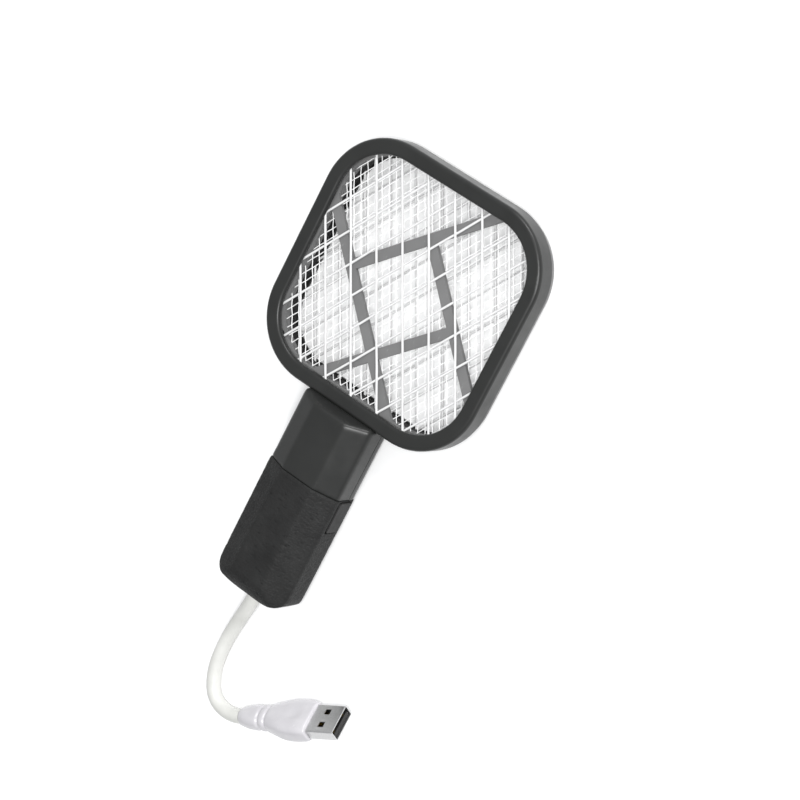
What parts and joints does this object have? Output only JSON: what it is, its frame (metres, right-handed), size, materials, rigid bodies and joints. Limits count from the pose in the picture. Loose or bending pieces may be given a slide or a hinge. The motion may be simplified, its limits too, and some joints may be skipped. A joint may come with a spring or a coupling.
{
  "type": "electric fly swatter",
  "caption": "Cord-powered electric fly swatter: square mesh head with rounded corners, short faceted handle with textured grip, side push button and white plug lead.",
  "frame": {"origin": "under the middle of the swatter's length and width, on the surface that its back lies on; the cord and plug are not counted", "axes": "+Z out of the mesh face, +Y along the handle towards the far end of the head, +X towards the push button's side"},
  "size_m": [0.1001, 0.2142, 0.0209],
  "materials": {
    "housing_plastic": "satin charcoal moulded plastic",
    "grip_texture": "matte charcoal with a fine leather-like texture",
    "button_plastic": "matte charcoal",
    "white_wire": "white coated steel wire",
    "fine_wire": "fine pale steel wire",
    "grey_plastic": "matte mid grey",
    "inner_black_plastic": "matte black",
    "screw_steel": "blackened steel",
    "switch_plastic": "matte black",
    "switch_plunger_plastic": "ivory plastic",
    "circuit_board_laminate": "green laminate",
    "ferrite": "dark grey ferrite",
    "copper_winding": "enamelled copper",
    "capacitor_case": "glossy dip coating",
    "diode_body": "black epoxy",
    "transistor_case": "black epoxy",
    "resistor_body": "tan lacquer",
    "terminal_brass": "plain brass",
    "red_lead": "red insulation",
    "black_lead": "black insulation",
    "grommet_rubber": "black rubber",
    "cord_jacket": "white jacket, soft satin",
    "plug_moulding": "white glossy moulding",
    "plug_steel": "nickel-plated steel",
    "plug_tongue_plastic": "black plastic",
    "contact_gilt": "gilt strips"
  },
  "bodies": {
    "housing": {"head_front_bezel": "housing_plastic", "head_back_bezel": "housing_plastic", "front_mesh": "white_wire", "mesh_support_frame": "grey_plastic", "hv_mesh": "fine_wire", "hv_spacer_ring": "grey_plastic", "back_spacer_ring": "inner_black_plastic", "back_mesh": "white_wire", "head_screws": "screw_steel", "handle_front_shell": "housing_plastic", "handle_back_shell": "housing_plastic", "grip_sleeve": "grip_texture", "handle_screws": "screw_steel", "switch_body": "switch_plastic", "circuit_board": "circuit_board_laminate", "hv_transformer_core": "ferrite", "hv_transformer_winding": "copper_winding", "hv_capacitor": "capacitor_case", "rectifier_diodes": "diode_body", "oscillator_transistor": "transistor_case", "resistors": "resistor_body", "mesh_terminals": "terminal_brass", "hv_lead_wire": "red_lead", "guard_lead_wires": "black_lead", "supply_wires": "black_lead", "cord_grommet": "grommet_rubber", "cord_clamp": "inner_black_plastic", "usb_cord": "cord_jacket", "usb_plug_body": "plug_moulding", "usb_plug_shell": "plug_steel", "usb_plug_tongue": "plug_tongue_plastic", "usb_plug_contacts": "contact_gilt"},
    "button": {"push_button": "button_plastic", "switch_plunger": "switch_plunger_plastic"}
  },
  "joints": [
    {"name": "button_press", "type": "slide", "parent": "housing", "child": "button", "axis": [-1, 0, 0], "range_m": [0, 0.0012], "stiffness_N_per_m": 2500, "springref_m": -0.0004}
  ]
}
